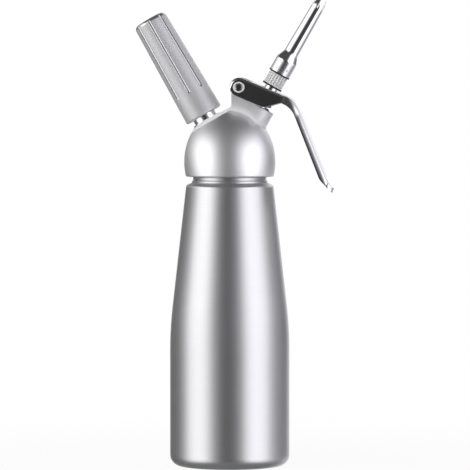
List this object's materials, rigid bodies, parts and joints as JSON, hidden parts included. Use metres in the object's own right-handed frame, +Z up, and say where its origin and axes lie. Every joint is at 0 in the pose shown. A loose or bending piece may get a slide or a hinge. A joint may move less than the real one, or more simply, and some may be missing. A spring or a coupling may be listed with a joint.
{
  "type": "whipped cream dispenser",
  "caption": "Tapered metal pressure bottle with a domed screw-on head, a grooved gas charger holder, a lever valve and a slotted decorating tip.",
  "frame": {"origin": "centre of the bottle's foot, on the surface that it stands on", "axes": "+Z up along the bottle's axis, +X towards the lever and the tip, -X towards the charger holder, Y across the lever"},
  "size_m": [0.1336, 0.08, 0.316],
  "materials": {
    "brushed_aluminium": "brushed, clear anodised",
    "satin_aluminium": "satin, clear anodised",
    "blasted_aluminium": "bead-blasted, clear anodised",
    "polished_chrome": "polished",
    "steel": "turned, bright",
    "spring_steel": "drawn wire",
    "charger_steel": "bright zinc plate",
    "brass": "turned",
    "black_rubber": "matte",
    "silicone": "matte",
    "white_plastic": "moulded, satin"
  },
  "bodies": {
    "bottle": {"bottle": "brushed_aluminium"},
    "head_lift": {"head_gasket": "silicone"},
    "head": {"head_casting": "satin_aluminium", "check_valve": "black_rubber", "pin_carrier": "brass", "piercing_pin": "steel", "pin_gasket": "silicone", "pivot_pin": "steel", "pivot_clip": "spring_steel"},
    "charger": {"gas_charger": "charger_steel", "charger_seal": "steel"},
    "holder": {"charger_holder": "blasted_aluminium"},
    "lever": {"lever": "polished_chrome"},
    "stem": {"valve_stem": "steel", "valve_seal": "silicone", "stem_o_rings": "black_rubber", "valve_spring": "spring_steel", "spring_collar": "steel"},
    "adapter_washer": {"adapter_washer": "black_rubber"},
    "adapter": {"nozzle_adapter": "white_plastic"},
    "tip_gasket": {"tip_gasket": "black_rubber"},
    "tip": {"decorating_tip": "polished_chrome"}
  },
  "joints": [
    {"name": "head_advance", "type": "slide", "parent": "bottle", "child": "head_lift", "axis": [0, 0, 1], "range_m": [0, 0.014]},
    {"name": "head_turn", "type": "hinge", "parent": "head_lift", "child": "head", "pos_m": [0, 0, 0.2], "axis": [0, 0, 1], "range_deg": [0, 1260]},
    {"name": "lever_press", "type": "hinge", "parent": "head", "child": "lever", "pos_m": [0.00711, 0, 0.25361], "axis": [0, 1, 0], "range_deg": [0, 10]},
    {"name": "valve_slide", "type": "slide", "parent": "head", "child": "stem", "axis": [-0.5, 0, -0.866], "range_m": [0, 0.00326], "stiffness_N_per_m": 2000, "springref_m": -0.003, "deforming": ["valve_spring"]},
    {"name": "holder_advance", "type": "slide", "parent": "head", "child": "charger", "axis": [-0.5, 0, 0.866], "range_m": [0, 0.009]},
    {"name": "holder_turn", "type": "hinge", "parent": "charger", "child": "holder", "pos_m": [-0.03, 0, 0.25696], "axis": [-0.5, 0, 0.866], "range_deg": [0, 2160]},
    {"name": "adapter_advance", "type": "slide", "parent": "stem", "child": "adapter_washer", "axis": [0.5, 0, 0.866], "range_m": [0, 0.0075]},
    {"name": "adapter_turn", "type": "hinge", "parent": "adapter_washer", "child": "adapter", "pos_m": [0.03, 0, 0.25696], "axis": [0.5, 0, 0.866], "range_deg": [0, 2160]},
    {"name": "tip_advance", "type": "slide", "parent": "adapter", "child": "tip_gasket", "axis": [0.5, 0, 0.866], "range_m": [0, 0.009]},
    {"name": "tip_turn", "type": "hinge", "parent": "tip_gasket", "child": "tip", "pos_m": [0.035, 0, 0.26562], "axis": [0.5, 0, 0.866], "range_deg": [0, 2160]}
  ],
  "couplings": [
    {"joint": "head_turn", "follows": "head_advance", "rad_per_m": 1570.8},
    {"joint": "holder_turn", "follows": "holder_advance", "rad_per_m": 4188.8},
    {"joint": "adapter_turn", "follows": "adapter_advance", "rad_per_m": 5026.5},
    {"joint": "tip_turn", "follows": "tip_advance", "rad_per_m": 4188.8},
    {"joint": "lever_press", "follows": "valve_slide", "rad_per_m": 53.53}
  ]
}
